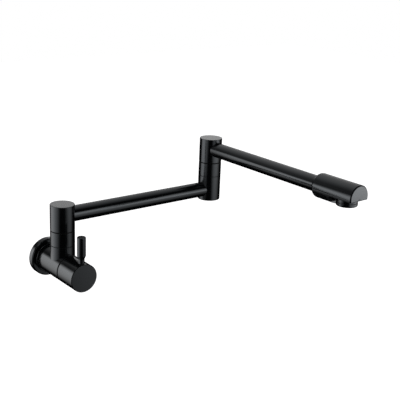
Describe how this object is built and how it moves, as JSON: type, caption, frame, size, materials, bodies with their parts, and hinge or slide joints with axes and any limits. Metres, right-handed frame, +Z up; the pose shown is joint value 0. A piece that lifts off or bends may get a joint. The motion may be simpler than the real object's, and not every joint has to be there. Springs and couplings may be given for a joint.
{
  "type": "wall mounted pot filler",
  "caption": "Wall mounted pot filler with a round flange, quarter-turn lever valve, swivelling double-jointed arm and a D-shaped spout head.",
  "frame": {"origin": "centre of the wall flange's back face, on the axis of the inlet nipple", "axes": "+X to the right along the wall, +Y into the wall along the inlet, -Y out of the wall towards the user, +Z up"},
  "size_m": [0.3098, 0.3714, 0.1853],
  "materials": {
    "black_finish": "satin black coating on brass",
    "raw_brass": "machined",
    "spring_steel": "bright",
    "seal_rubber": "moulded",
    "slide_plastic": "moulded, low friction",
    "jet_plastic": "moulded grey",
    "ceramic": "lapped ceramic"
  },
  "bodies": {
    "base": {"wall_flange": "black_finish", "flange_gasket": "seal_rubber", "collar_ring": "black_finish", "inlet_nipple": "raw_brass", "inlet_seal": "seal_rubber", "valve_body": "black_finish", "cartridge_body": "raw_brass", "cartridge_seal": "seal_rubber", "ceramic_fixed": "ceramic", "cap_guide_ring": "slide_plastic", "riser_spigot": "raw_brass", "riser_ring": "black_finish", "riser_thrust_washer": "slide_plastic", "riser_o_rings": "seal_rubber", "riser_circlip": "spring_steel"},
    "handle": {"handle_cap": "black_finish", "lever_stem": "black_finish", "lever_grip": "black_finish", "grub_screw": "spring_steel", "cartridge_spindle": "raw_brass", "ceramic_turning": "ceramic"},
    "first_arm": {"riser_head": "black_finish", "riser_top_cap": "black_finish", "arm_1_tube": "black_finish", "elbow_base": "black_finish", "elbow_spigot": "raw_brass", "elbow_ring": "black_finish", "elbow_thrust_washer": "slide_plastic", "elbow_o_rings": "seal_rubber", "elbow_circlip": "spring_steel"},
    "second_arm": {"elbow_head": "black_finish", "elbow_top_cap": "black_finish", "arm_2_tube": "black_finish", "spout_head": "black_finish", "aerator_housing": "black_finish", "aerator_insert": "jet_plastic", "aerator_seal": "seal_rubber"}
  },
  "joints": [
    {"name": "handle_turn", "type": "hinge", "parent": "base", "child": "handle", "pos_m": [0, -0.088, 0], "axis": [0, 1, 0], "range_deg": [0, 90]},
    {"name": "riser_swivel", "type": "hinge", "parent": "base", "child": "first_arm", "pos_m": [0, -0.048, 0.0725], "axis": [0, 0, 1], "range_deg": [-186, 6]},
    {"name": "elbow_swivel", "type": "hinge", "parent": "first_arm", "child": "second_arm", "pos_m": [0.264, -0.048, 0.1375], "axis": [0, 0, 1], "continuous": true}
  ]
}
